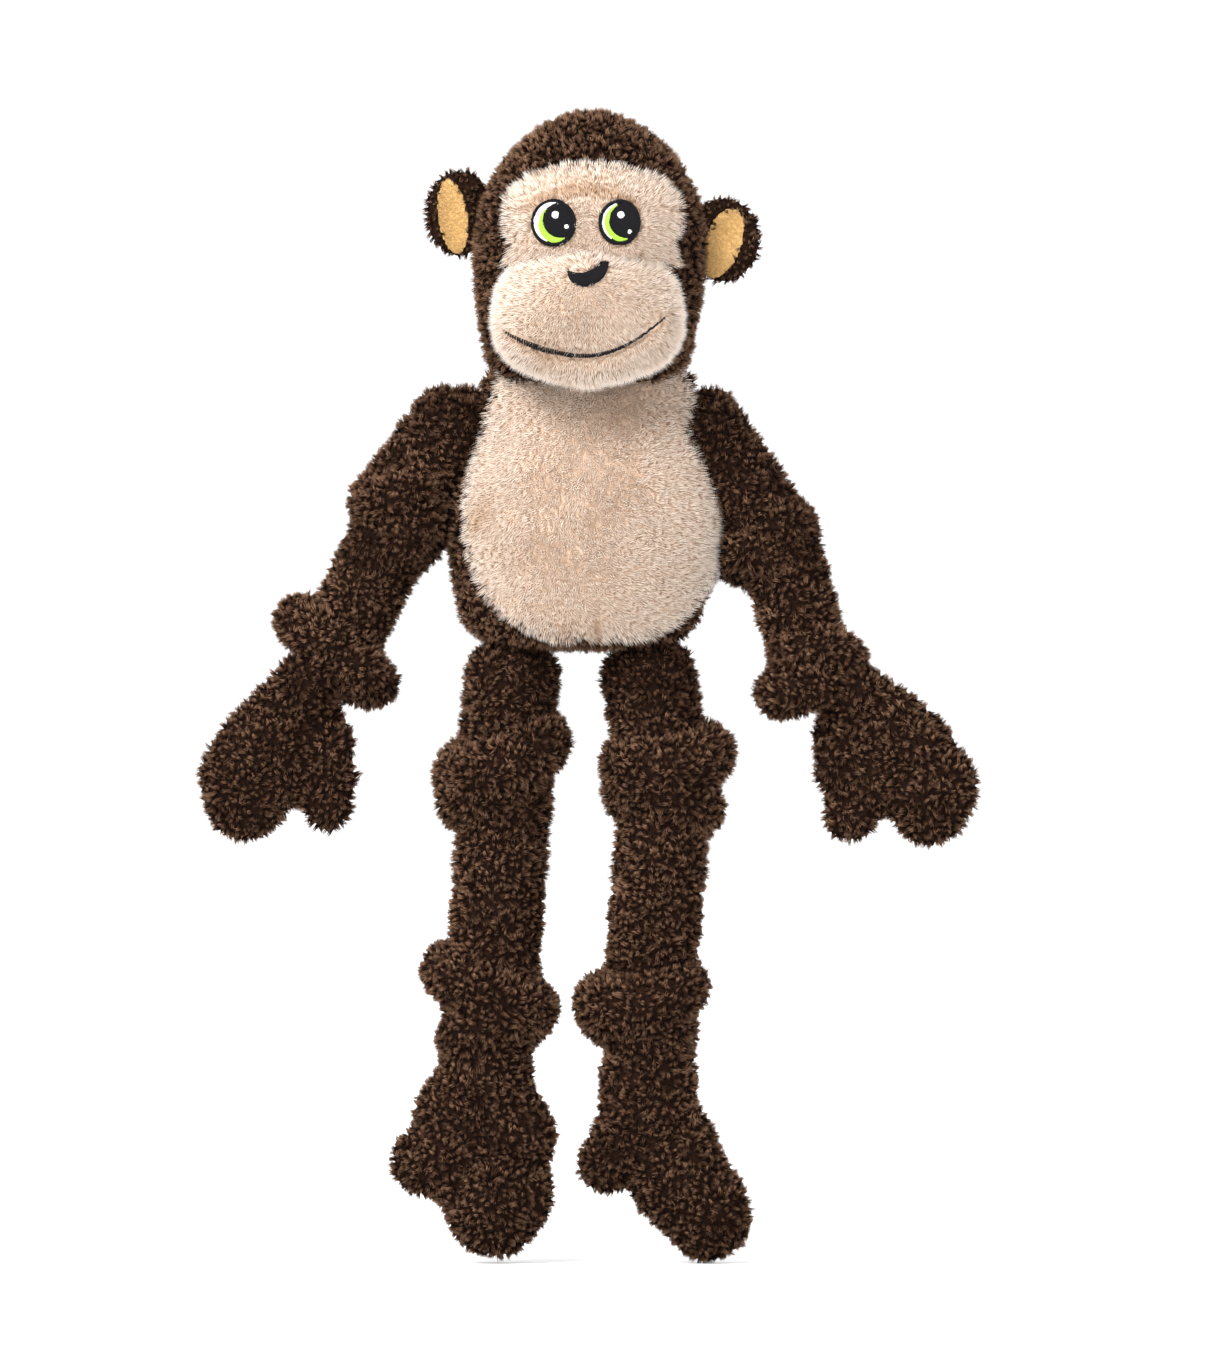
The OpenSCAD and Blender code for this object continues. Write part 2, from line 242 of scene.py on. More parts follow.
def backingMaterial(name, low, high):
    material, recipe = newMaterial(name, high)
    place = recipe.node("ShaderNodeTexCoord").out("Object")
    cloud = recipe.node("ShaderNodeTexNoise", {}, {
        "Vector": place, "Scale": backing["clouds"], "Detail": 3.0})
    loops = recipe.node("ShaderNodeTexVoronoi", {}, {"Vector": place, "Scale": backing["loops"]})
    colour = recipe.node("ShaderNodeValToRGB", {"stops": [(0.25, low), (0.75, high)]},
                         {"Fac": cloud * 0.6 + loops * 0.4})
    bump = recipe.node("ShaderNodeBump", {}, {
        "Strength": backing["bump"], "Distance": backing["deep"] * mm, "Height": loops})
    finishMaterial(recipe, Base_Color=colour, Roughness=backing["rough"],
                   Specular_IOR_Level=backing["specular"], Normal=bump)
    return material


# Embroidery thread, twisted, so that it catches the light in short slanting marks

twisted = {"twists": 700.0, "slant": 38, "fuzz": 1500.0, "bump": 0.4, "deep": 0.1, "specular": 0.15}


def threadMaterial(name, low, high, rough):
    material, recipe = newMaterial(name, high)
    place = recipe.node("ShaderNodeTexCoord").out("Object")
    turned = recipe.node("ShaderNodeMapping", {}, {
        "Vector": place, "Rotation": (0.3, math.radians(twisted["slant"]), 0.0)})
    twist = recipe.node("ShaderNodeTexWave", {"bands_direction": "Z"},
                        {"Vector": turned, "Scale": twisted["twists"], "Distortion": 2.0, "Detail": 1.0})
    fuzz = recipe.node("ShaderNodeTexNoise", {}, {"Vector": place, "Scale": twisted["fuzz"], "Detail": 2.0})
    colour = recipe.node("ShaderNodeValToRGB", {"stops": [(0.2, low), (0.8, high)]},
                         {"Fac": twist * 0.5 + fuzz * 0.5})
    bump = recipe.node("ShaderNodeBump", {}, {
        "Strength": twisted["bump"], "Distance": twisted["deep"] * mm, "Height": twist})
    finishMaterial(recipe, Base_Color=colour, Roughness=rough,
                   Specular_IOR_Level=twisted["specular"], Normal=bump)
    return material


materials = {
    "brownPile": pileMaterial("brown pile", brownPile),
    "beigePile": pileMaterial("beige plush", beigePile),
    "velourPile": pileMaterial("tan velour", velourPile),
    "brownBacking": backingMaterial("brown backing", (0.007, 0.003, 0.002), (0.020, 0.009, 0.005)),
    "beigeBacking": backingMaterial("beige backing", (0.52, 0.37, 0.26), (0.70, 0.53, 0.41)),
    "velourBacking": backingMaterial("velour backing", (0.42, 0.25, 0.09), (0.62, 0.40, 0.16)),
    "blackThread": threadMaterial("black thread", (0.001, 0.001, 0.002), (0.006, 0.006, 0.008), 0.6),
    "whiteThread": threadMaterial("white thread", (0.70, 0.70, 0.68), (0.90, 0.90, 0.88), 0.55),
    "limeThread": threadMaterial("lime thread", (0.28, 0.50, 0.03), (0.42, 0.68, 0.09), 0.5),
}
print("materials made")


# Tools for shaping

def only(*things):
    bpy.ops.object.select_all(action="DESELECT")
    for thing in things:
        thing.select_set(True)
    bpy.context.view_layer.objects.active = things[0]


def settle(thing):  # its place, turn and size go into its mesh
    only(thing)
    bpy.ops.object.transform_apply(location=True, rotation=True, scale=True)


def copyOf(thing, name):
    twin = thing.copy()
    twin.data = thing.data.copy()
    twin.name = name
    twin.data.name = name
    twin.parent = None
    scene.collection.objects.link(twin)
    return twin


def worked(thing, kind, **settings):  # one modifier, set and applied
    only(thing)
    bpy.ops.object.modifier_add(type=kind)
    modifier = thing.modifiers[-1]
    for key, value in settings.items():
        setattr(modifier, key, value)
    bpy.ops.object.modifier_apply(modifier=modifier.name)


def joined(name, parts):
    only(*parts)
    if len(parts) > 1:
        bpy.ops.object.join()
    whole = bpy.context.object
    whole.name = name
    whole.data.name = name
    return whole


def ball(place, radius, stretch=(1, 1, 1), lean=0.0):
    bpy.ops.object.select_all(action="DESELECT")
    bpy.ops.mesh.primitive_uv_sphere_add(segments=28, ring_count=18, radius=radius, location=place)
    thing = bpy.context.object
    thing.scale = stretch
    thing.rotation_euler = (0, lean, 0)
    settle(thing)
    return thing


def stack(name, rings, top=(0, 0, 0), lean=0.0):  # drawn up ring by ring: height, width, depth, back
    height, wide, deep, back = rings[0]
    bpy.ops.object.select_all(action="DESELECT")
    bpy.ops.mesh.primitive_circle_add(vertices=32, radius=mm, fill_type="NGON",
                                      location=(0, back * mm, height * mm))
    thing = bpy.context.object
    thing.name = name
    thing.data.name = name
    thing.scale = (wide, deep, 1)
    settle(thing)
    bpy.ops.object.mode_set(mode="EDIT")
    bpy.ops.mesh.select_all(action="SELECT")
    for under, over in zip(rings, rings[1:]):
        step = (0, (over[3] - under[3]) * mm, (over[0] - under[0]) * mm)
        middle = (0, over[3] * mm, over[0] * mm)
        bpy.ops.mesh.extrude_region_move(TRANSFORM_OT_translate={"value": step})
        bpy.ops.transform.resize(value=(over[1] / under[1], over[2] / under[2], 1), center_override=middle)
    bpy.ops.mesh.select_all(action="SELECT")
    bpy.ops.mesh.normals_make_consistent(inside=False)
    bpy.ops.object.mode_set(mode="OBJECT")
    thing.location = top
    thing.rotation_euler = (0, lean, 0)
    settle(thing)
    return thing


stuffed = {"pressure": 4.0, "ticks": 20}


def swell(thing, cap):  # stuffing pushes the cloth out, by no more than the cap in mm
    before = [spot.co.copy() for spot in thing.data.vertices]
    only(thing)
    bpy.ops.object.modifier_add(type="CLOTH")
    cloth = thing.modifiers[-1]
    cloth.settings.use_pressure = True
    cloth.settings.uniform_pressure_force = stuffed["pressure"]
    cloth.settings.effector_weights.gravity = 0
    for tick in range(1, stuffed["ticks"] + 1):
        scene.frame_set(tick)
    bpy.ops.object.modifier_apply(modifier=cloth.name)
    scene.frame_set(1)
    for spot, old in zip(thing.data.vertices, before):
        move = spot.co - old
        if move.length > cap * mm:
            spot.co = old + move.normalized() * cap * mm


def padOut(thing, pad):  # remeshed to one skin, smoothed and swollen
    worked(thing, "REMESH", mode="VOXEL", voxel_size=pad["grain"] * mm)
    worked(thing, "SMOOTH", factor=0.5, iterations=pad["rounds"])
    swell(thing, pad["cap"])
    worked(thing, "SUBSURF", levels=1, render_levels=1)
    only(thing)
    bpy.ops.object.shade_smooth()


def pick(thing, wanted):  # goes into edit mode with just the wanted faces selected
    only(thing)
    bpy.context.tool_settings.mesh_select_mode = (False, False, True)
    bpy.ops.object.mode_set(mode="EDIT")
    bpy.ops.mesh.select_all(action="DESELECT")
    bpy.ops.object.mode_set(mode="OBJECT")
    for face in thing.data.polygons:
        face.select = wanted(face.center, face.normal)
    bpy.ops.object.mode_set(mode="EDIT")


def patch(skin, name, inside, rise):  # a panel of cloth cut to an outline and laid on a skin
    panel = copyOf(skin, name)
    pick(panel, lambda place, facing: not inside(place, facing))
    bpy.ops.mesh.delete(type="FACE")
    bpy.ops.object.mode_set(mode="OBJECT")
    worked(panel, "SUBSURF", levels=1, render_levels=1)
    worked(panel, "DISPLACE", strength=rise * mm, mid_level=0.0)
    return panel


def onFront(skin, across, up, proud):  # the place that stands proud of the front of a skin
    for nudge in (0.0, 0.05 * mm, -0.05 * mm):  # a ray can slip through an edge
        hit, place, facing, face = skin.ray_cast(Vector((across + nudge, -0.3, up)), Vector((0, 1, 0)))
        if hit:
            return place + facing * proud
    return None


# Pile: small tufts of fibres, modelled once and set close together all over a skin

tufts = {  # sizes in mm; gather below 1 draws the tips together, hook leans them all one way
    "curl": {"kinds": 5, "strands": 6, "spread": 0.85, "thick": 0.42, "tall": 4.3, "gather": 0.6,
             "hook": 1.2, "curl": 0.7},
    "plush": {"kinds": 4, "strands": 5, "spread": 0.75, "thick": 0.20, "tall": 4.6, "gather": 1.3,
              "hook": 0.7, "curl": 0.1},
    "velour": {"kinds": 2, "strands": 4, "spread": 0.50, "thick": 0.15, "tall": 1.5, "gather": 1.1,
               "hook": 0.15, "curl": 0.05},
}


def strand(foot, tip, thick):  # a slanting spike
    bpy.ops.object.select_all(action="DESELECT")
    bpy.ops.mesh.primitive_circle_add(vertices=3, radius=thick * mm, fill_type="NGON", location=foot * mm,
                                      rotation=(0, 0, foot.x * 9))
    thing = bpy.context.object
    settle(thing)
    bpy.ops.object.mode_set(mode="EDIT")
    bpy.ops.mesh.select_all(action="SELECT")
    bpy.ops.mesh.extrude_region_move(TRANSFORM_OT_translate={"value": (tip - foot) * mm})
    bpy.ops.mesh.merge(type="CENTER")
    bpy.ops.mesh.select_all(action="SELECT")
    bpy.ops.mesh.normals_make_consistent(inside=False)
    bpy.ops.object.mode_set(mode="OBJECT")
    return thing


def makeTufts(kind):
    shape = tufts[kind]
    chance = random.Random(11)
    basket = bpy.data.collections.new(kind + " tufts")
    scene.collection.children.link(basket)
    lean = Vector((shape["hook"], 0, 0))
    for variety in range(shape["kinds"]):
        parts = []
        for turn in range(shape["strands"]):
            angle = 2 * math.pi * (turn + chance.uniform(-0.25, 0.25)) / shape["strands"]
            out = Vector((math.cos(angle), math.sin(angle), 0))
            reach = shape["spread"] * chance.uniform(0.55, 1.1)
            tall = shape["tall"] * chance.uniform(0.8, 1.08)
            foot = out * reach
            curl = Vector((chance.uniform(-1, 1), chance.uniform(-1, 1), 0)) * shape["curl"]
            tip = out * reach * shape["gather"] + lean * chance.uniform(0.4, 1.2) + curl
            tip += Vector((0, 0, tall))
            parts.append(strand(foot, tip, shape["thick"] * chance.uniform(0.85, 1.15)))
        tuft = joined(kind + "Tuft", parts)
        bpy.ops.object.shade_smooth()
        mapping = tuft.data.uv_layers.new(name="OFBake")
        for loop in tuft.data.loops:
            place = tuft.data.vertices[loop.vertex_index].co
            mapping.data[loop.index].uv = (0.5 + 0.2 * place.x / mm, min(place.z / (shape["tall"] * mm), 1.0))
        for holder in list(tuft.users_collection):
            holder.objects.unlink(tuft)
        basket.objects.link(tuft)
    return basket


def pileTree(basket, material, pile):
    tree = bpy.data.node_groups.new("pile", "GeometryNodeTree")
    tree.interface.new_socket("Skin", in_out="INPUT", socket_type="NodeSocketGeometry")
    tree.interface.new_socket("Pile", in_out="OUTPUT", socket_type="NodeSocketGeometry")
    recipe = Recipe(tree)
    skin = recipe.node("NodeGroupInput")
    room = recipe.node("GeometryNodeInputNamedAttribute", {"data_type": "FLOAT"}, {"Name": "pileHere"})
    lay = recipe.node("GeometryNodeInputNamedAttribute", {"data_type": "FLOAT_VECTOR"}, {"Name": "lay"})
    tint = recipe.node("GeometryNodeInputNamedAttribute", {"data_type": "FLOAT"}, {"Name": "tint"})
    points = recipe.node("GeometryNodeDistributePointsOnFaces", {"distribute_method": "POISSON"}, {
        "Mesh": skin, "Distance Min": pile["apart"] * mm, "Density Max": 3.2 / (pile["apart"] * mm) ** 2,
        "Density Factor": room, "Seed": pile["seed"]})
    place = recipe.node("GeometryNodeInputPosition")

    # which way each tuft leans: off the skin, along the lay, with drifts and a little chance
    drift = recipe.node("ShaderNodeTexNoise", {}, {
        "Vector": place, "Scale": pile["driftScale"], "Detail": 1.0})
    drift = recipe.node("ShaderNodeVectorMath", {"operation": "SUBTRACT"}, {
        0: drift.out("Color"), 1: (0.5, 0.5, 0.5)})
    drift = recipe.node("ShaderNodeVectorMath", {"operation": "SCALE"}, {0: drift, "Scale": pile["drift"]})
    stray = pile["stray"]
    chance = recipe.node("FunctionNodeRandomValue", {"data_type": "FLOAT_VECTOR"}, {
        0: (-stray, -stray, -stray), 1: (stray, stray, stray), "Seed": pile["seed"] + 1})
    way = recipe.node("ShaderNodeVectorMath", {"operation": "ADD"}, {0: points.out("Normal"), 1: lay})
    way = recipe.node("ShaderNodeVectorMath", {"operation": "ADD"}, {0: way, 1: drift})
    way = recipe.node("ShaderNodeVectorMath", {"operation": "ADD"}, {0: way, 1: chance})
    upright = recipe.node("FunctionNodeAlignRotationToVector", {"axis": "Z"}, {"Vector": way})
    spin = recipe.node("FunctionNodeRandomValue", {"data_type": "FLOAT_VECTOR"}, {
        0: (0, 0, 0), 1: (0, 0, 2 * math.pi), "Seed": pile["seed"] + 2})
    spin = recipe.node("FunctionNodeEulerToRotation", {}, {"Euler": spin})
    turned = recipe.node("FunctionNodeRotateRotation", {"rotation_space": "LOCAL"}, {
        "Rotation": upright, "Rotate By": spin})

    # how long it is, and how light: random patches and single tufts, less the painted shade in folds, grooves
    # and under knots
    size = recipe.node("FunctionNodeRandomValue", {"data_type": "FLOAT"}, {
        2: pile["short"], 3: pile["long"], "Seed": pile["seed"] + 3})
    cloud = recipe.node("ShaderNodeTexNoise", {}, {
        "Vector": place, "Scale": pile["cloudScale"], "Detail": 2.0})
    single = recipe.node("FunctionNodeRandomValue", {"data_type": "FLOAT"}, {
        2: 0.0, 3: 1.0, "Seed": pile["seed"] + 4})
    shade = cloud * pile["cloud"] + single * pile["single"] + pile["shade"] - tint
    shade = recipe.node("ShaderNodeClamp", {}, {"Value": shade, "Min": 0.01, "Max": 0.99})

    shaded = recipe.node("GeometryNodeStoreNamedAttribute", {"data_type": "FLOAT", "domain": "POINT"}, {
        "Geometry": points, "Name": "tuftShade", "Value": shade})
    kinds = recipe.node("GeometryNodeCollectionInfo", {}, {
        "Collection": basket, "Separate Children": True, "Reset Children": True})
    planted = recipe.node("GeometryNodeInstanceOnPoints", {}, {
        "Points": shaded, "Instance": kinds, "Pick Instance": True, "Rotation": turned, "Scale": size})
    grown = recipe.node("GeometryNodeRealizeInstances", {}, {"Geometry": planted})

    # each tuft's shade goes across its own UV map, and root to tip stays up it
    own = recipe.node("GeometryNodeInputNamedAttribute", {"data_type": "FLOAT_VECTOR"}, {"Name": "OFBake"})
    own = recipe.node("ShaderNodeSeparateXYZ", {}, {"Vector": own})
    tone = recipe.node("GeometryNodeInputNamedAttribute", {"data_type": "FLOAT"}, {"Name": "tuftShade"})
    mapped = recipe.node("ShaderNodeCombineXYZ", {}, {"X": tone + own.out("X") * 0.004, "Y": own.out("Y")})
    grown = recipe.node("GeometryNodeStoreNamedAttribute", {"data_type": "FLOAT2", "domain": "CORNER"}, {
        "Geometry": grown, "Name": "OFBake", "Value": mapped})
    finished = recipe.node("GeometryNodeSetMaterial", {}, {"Geometry": grown, "Material": material})
    recipe.node("NodeGroupOutput", {}, {"Pile": finished})
    return tree


# the last attribute is painted shade: the pile is made darker in folds, grooves and under knots
def combed(skin, bare, lay, tint):  # where the pile grows, which way it lies and where it is darker
    for name, kind in (("pileHere", "FLOAT"), ("lay", "FLOAT_VECTOR"), ("tint", "FLOAT")):
        skin.data.attributes.new(name, kind, "POINT")
    room, way, tone = (skin.data.attributes[name] for name in ("pileHere", "lay", "tint"))
    for spot in skin.data.vertices:
        place = spot.co / mm
        room.data[spot.index].value = 0.0 if bare and bare(place) else 1.0
        way.data[spot.index].vector = lay(place) if lay else (0, 0, 0)
        tone.data[spot.index].value = tint(place) if tint else 0.0


def growPile(skin, name, basket, material, pile):
    coat = copyOf(skin, name)
    only(coat)
    bpy.ops.object.modifier_add(type="NODES")
    coat.modifiers[-1].node_group = pileTree(basket, material, pile)
    bpy.ops.object.modifier_apply(modifier=coat.modifiers[-1].name)
    for spare in ("pileHere", "lay", "tint", "tuftShade"):
        if spare in coat.data.attributes:
            coat.data.attributes.remove(coat.data.attributes[spare])
        if spare in skin.data.attributes:
            skin.data.attributes.remove(skin.data.attributes[spare])
    return coat


baskets = {kind: makeTufts(kind) for kind in tufts}
print("tufts made")

coats = {  # how close the tufts stand in mm, how they stray, how long they are, and what shades them
    "brown": {"apart": 1.62, "seed": 5, "drift": 2.4, "driftScale": 110.0, "stray": 0.9,
              "short": 0.70, "long": 1.05, "cloudScale": 30.0, "cloud": 1.1, "single": 0.9, "shade": -0.44},
    "beige": {"apart": 1.15, "seed": 9, "drift": 1.3, "driftScale": 45.0, "stray": 0.25,
              "short": 0.75, "long": 1.1, "cloudScale": 34.0, "cloud": 2.3, "single": 0.2, "shade": -0.50},
    "velour": {"apart": 0.85, "seed": 13, "drift": 0.8, "driftScale": 80.0, "stray": 0.2,
               "short": 0.7, "long": 1.1, "cloudScale": 60.0, "cloud": 1.2, "single": 0.3, "shade": -0.1},
}
clothKinds = {  # the tuft that each cloth has, and the slot of its material
    "brown": ("curl", "brown_pile"),
    "beige": ("plush", "beige_plush"),
    "velour": ("velour", "ear_velour"),
}


def finish(piece, body, slot, *nodes, fill=None):  # what a piece rides on and what it stands for
    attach(piece, body)
    if nodes:
        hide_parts(*nodes)


def cover(skin, body, kind, *nodes, fill, bare=None, lay=None, tint=None, thick=None, length=1.0):
    tuft, slot = clothKinds[kind]
    coat = coats[kind]
    skin.data.materials.clear()
    skin.data.materials.append(materials[kind + "Backing"])
    combed(skin, bare, lay, tint)
    coat["seed"] += 10  # so that no two pieces have the same pile
    own = {**coat, "short": coat["short"] * length, "long": coat["long"] * length}
    pile = growPile(skin, skin.name.replace("skin", "pile"), baskets[tuft], materials[kind + "Pile"], own)
    if thick:
        worked(skin, "SOLIDIFY", thickness=thick * mm, offset=-1.0)
    finish(skin, body, slot, *nodes, fill=fill)
    finish(pile, body, slot)
    print(skin.name, len(pile.data.polygons))


# Head: rings from the throat to the crown, in mm

head = {
    "rings": [(-4, 22, 20, 0), (-1, 36, 33, 0), (4, 41.5, 38, 0), (13, 43.5, 42, 0), (24, 45.5, 45, 0),
              (36, 47.5, 47, 0), (50, 48.6, 48.2, 0), (62, 48.4, 48.2, 0), (76, 45.5, 45.5, 0),
              (90, 39, 39, 0), (101, 29.5, 29.5, 0), (110, 16.5, 16.5, 0), (113.5, 7, 7, 0)],
    "browMiddle": 2, "browTop": 89.5, "browHalf": 37.0, "browFoot": 47, "browTurn": 68, "browProud": 0.9,
    "slip": 1.3, "crease": 1.8, "pad": {"grain": 4.0, "cap": 1.2, "rounds": 4},
}
panelThick = 1.8


def inBrow(across, up, margin=0.0):  # a round arch, drawn in a little at the sides where it meets the muzzle
    aside = abs(across - head["browMiddle"])
    waist = 3.0 * math.exp(-((up - 57) / 5.0) ** 2)
    if up < head["browFoot"] - margin:
        return False
    if up < head["browTurn"]:
        return aside < head["browHalf"] - waist + margin
    rise = (up - head["browTurn"]) / (head["browTop"] - head["browTurn"] + margin)
    return rise < 1 and aside < (head["browHalf"] + margin) * (1 - rise ** 2.6) ** (1 / 2.2)


muzzle = {
    "balls": [((-18.5, -37, 23), 21.5, 0.95), ((18.5, -37, 23), 21.5, 0.95), ((0, -43, 35), 18.5, 0.9),
              ((0, -40, 14), 18.0, 0.95), ((-10, -40, 17), 18.5, 0.95), ((10, -40, 17), 18.5, 0.95),
              ((-11, -42, 31), 19.5, 0.9), ((11, -42, 31), 19.5, 0.9), ((-20, -34, 32), 18.5, 1.0),
              ((20, -34, 32), 18.5, 1.0)],
    "smileMiddle": -1.0, "smileFoot": 8.6, "smileHalf": 32.5, "leftRise": 10.2, "rightRise": 15.8,
    "groove": 1.8, "lip": 1.0, "pad": {"grain": 3.4, "cap": 1.2, "rounds": 6},
}


def smileHeight(across):  # how high the mouth runs at a place across, in mm
    far = (across - muzzle["smileMiddle"]) / muzzle["smileHalf"]
    rise = muzzle["leftRise"] if far < 0 else muzzle["rightRise"]
    return muzzle["smileFoot"] + rise * abs(far) ** 1.9


def inMuzzle(place, grow):
    for spot, radius, deep in muzzle["balls"]:
        far = Vector(spot) - place
        far.y /= deep
        if far.length < radius + grow:
            return True
    return False


eyes = {
    "right": {"at": (-14.2, 65.3), "half": (9.2, 9.6), "iris": (2.1, -0.6, 8.1), "pupil": (3.1, 1.0, 7.3),
              "glints": [(0.9, 3.4, 1.55), (5.5, -1.6, 0.9)]},
    "left": {"at": (13.2, 65.5), "half": (8.6, 9.2), "iris": (1.9, -0.2, 8.1), "pupil": (2.8, 0.7, 7.2),
             "glints": [(0.5, 3.2, 1.5), (4.1, -3.8, 0.9)]},
}


def inEye(across, up, grow=0.0):
    for eye in eyes.values():
        wide, tall = eye["half"]
        if math.hypot((across - eye["at"][0]) / (wide + grow), (up - eye["at"][1]) / (tall + grow)) < 1:
            return True
    return False


def browCrease(place):  # how deep the fold above the eyes is at a place, from 0 to 1
    line = 78.6 - 0.0125 * (place.x + 1.5) ** 2
    return math.exp(-((place.z - line) / 2.3) ** 2) * max(0.0, 1 - abs(place.x / 32) ** 3)


def inNose(across, up):  # a crescent with its ends turned up, the toy's left end higher
    slope = 0.16 * across
    outer = math.hypot(across / 8.4, (up - 45.6 - slope) / 7.2) < 1
    inner = math.hypot((across + 2.5) / 7.4, (up - 49.6 - slope * 0.6) / 6.2) < 1
    return outer and not inner and up < 46.8 + slope


def makeHead():
    skin = stack("head_skin", head["rings"])
    padOut(skin, head["pad"])
    for spot in skin.data.vertices:
        place = spot.co / mm
        spot.co.x += head["slip"] * mm * min(1.0, max(0.0, (place.z - 20) / 50))
        if place.y < 0 and inBrow(place.x, place.z, 4):
            spot.co.y += head["crease"] * mm * browCrease(place)

    snout = joined("muzzle_panel_skin", [
        ball(Vector(spot) * mm, radius * mm, (1, deep, 1)) for spot, radius, deep in muzzle["balls"]])
    padOut(snout, muzzle["pad"])
    worked(snout, "SUBSURF", levels=1, render_levels=1)
    for spot in snout.data.vertices:
        place = spot.co / mm
        if place.y < -30 and abs(place.x) < 38:
            off = place.z - smileHeight(place.x)
            fade = max(0.0, 1 - (place.x / 35) ** 2)
            groove = muzzle["groove"] * math.exp(-(off / 2.2) ** 2)
            lip = muzzle["lip"] * math.exp(-((off + 6.5) / 3.5) ** 2)
            dent = lip - groove
            spot.co -= Vector((0, 1, 0)) * dent * fade * mm

    brow = patch(skin, "brow_panel_skin",
                 lambda place, facing: facing.y < 0 and inBrow(place.x / mm, place.z / mm), head["browProud"])
    embroider(brow, snout)

    def browLay(place):
        eye = min(eyes.values(),
                  key=lambda each: math.hypot(place.x - each["at"][0], place.z - each["at"][1]))
        away = Vector((place.x - eye["at"][0], 0, place.z - eye["at"][1]))
        near = math.exp(-((away.length - 9) / 5.0) ** 2)
        sweep = Vector((place.x * 0.02, 0, 0.55 if place.z > 72 else -0.45))
        return sweep * (1 - near) + away.normalized() * 0.75 * near

    def snoutLay(place):
        away = Vector((place.x, 0, place.z - 47))
        flat = away.normalized() * min(1.0, away.length / 10)
        offMouth = place.z - smileHeight(place.x)
        near = math.exp(-(offMouth / 3.2) ** 2) * max(0.0, 1 - (place.x / 36) ** 6)
        parting = Vector((0, 0, 0.9 if offMouth > 0 else -0.9))
        return Vector((flat.x * 0.75, 0, flat.z * 0.75)) * (1 - near) + parting * near

    # the brow pile is painted darker along the fold above the eyes, as painted shade in the crease
    cover(brow, "head", "beige", "brow_panel", fill=0.8, lay=browLay, thick=panelThick,
          bare=lambda place: inEye(place.x, place.z, -0.2) or inMuzzle(place, -1.5),
          tint=lambda place: 0.9 * browCrease(place))
    # the muzzle pile is painted darker along the mouth line, as painted shade in its groove
    cover(snout, "head", "beige", "muzzle_panel", fill=0.9, lay=snoutLay,
          bare=lambda place: place.y > -30 or inNose(place.x, place.z)
          or (abs(place.z - smileHeight(place.x)) < 1.9 and abs(place.x + 1) < 32),
          tint=lambda place: 0.35 * math.exp(-((place.z - smileHeight(place.x)) / 2.5) ** 2))
    cover(skin, "head", "brown", "head_cover", "head_stuffing", fill=0.9,
          bare=lambda place: (place.y < 0 and inBrow(place.x - 1, place.z, -1.2)) or inMuzzle(place, -1.0)
          or place.z < -1)


# Embroidery: rows of thread laid side by side over each shape, on the face panels

stitch = {  # in mm; proud is how high each row of thread stands over the cloth, clear of the pile
    "pitch": 0.46, "thick": 0.27, "step": 0.8, "dip": 0.35, "outline": 1.3,
    "eyeProud": 2.3, "noseProud": 1.9, "eyeUnder": (1.3, 0.8), "noseUnder": (0.9, 0.7),
    "mouthCount": 36, "mouthTall": 1.65, "mouthEnd": 0.35, "mouthProud": 2.7, "mouthThick": 0.46,
}


def rowsOf(shape, low, high, slant):  # the stretches of each row that lie inside a shape
    turn = Vector((math.cos(slant), math.sin(slant)))
    side = Vector((-turn.y, turn.x))
    middle = Vector(((low[0] + high[0]) / 2, (low[1] + high[1]) / 2))
    reach = math.hypot(high[0] - low[0], high[1] - low[1]) / 2
    count = int(reach / stitch["pitch"])
    fine = 0.1
    steps = int(reach / fine)
    found = []
    for row in range(-count, count + 1):
        run = []
        for step in range(-steps, steps + 2):
            spot = middle + side * row * stitch["pitch"] + turn * step * fine
            if step <= steps and shape(spot.x, spot.y):
                run.append(spot)
            elif run:
                if len(run) * fine > 0.5:
                    found.append((run[0], run[-1]))
                run = []
    return found


def thread(name, skin, stretches, colour, proud, thick):
    drawn = bpy.data.curves.new(name, "CURVE")
    drawn.dimensions = "3D"
    drawn.bevel_depth = thick * mm
    drawn.bevel_resolution = 1
    drawn.use_fill_caps = True
    for start, end in stretches:
        count = max(2, round((end - start).length / stitch["step"]) + 1)
        points = []
        for index in range(count):
            spot = start.lerp(end, index / (count - 1))
            dip = stitch["dip"] if index in (0, count - 1) else 0.0
            place = onFront(skin, spot.x * mm, spot.y * mm, (proud - dip) * mm)
            if place:
                points.append(place)
        if len(points) > 1:
            spline = drawn.splines.new("POLY")
            spline.points.add(len(points) - 1)
            for point, place in zip(spline.points, points):
                point.co = (*place, 1)
    laid = bpy.data.objects.new(name, drawn)
    scene.collection.objects.link(laid)
    only(laid)
    bpy.ops.object.convert(target="MESH")
    laid = bpy.context.object
    laid.data.name = name
    bpy.ops.object.shade_smooth()
    laid.data.materials.clear()
    laid.data.materials.append(materials[colour + "Thread"])
    return laid


def circleTest(middle, spot):
    return lambda x, z: math.hypot(x - middle[0] - spot[0], z - middle[1] - spot[1]) < spot[2]


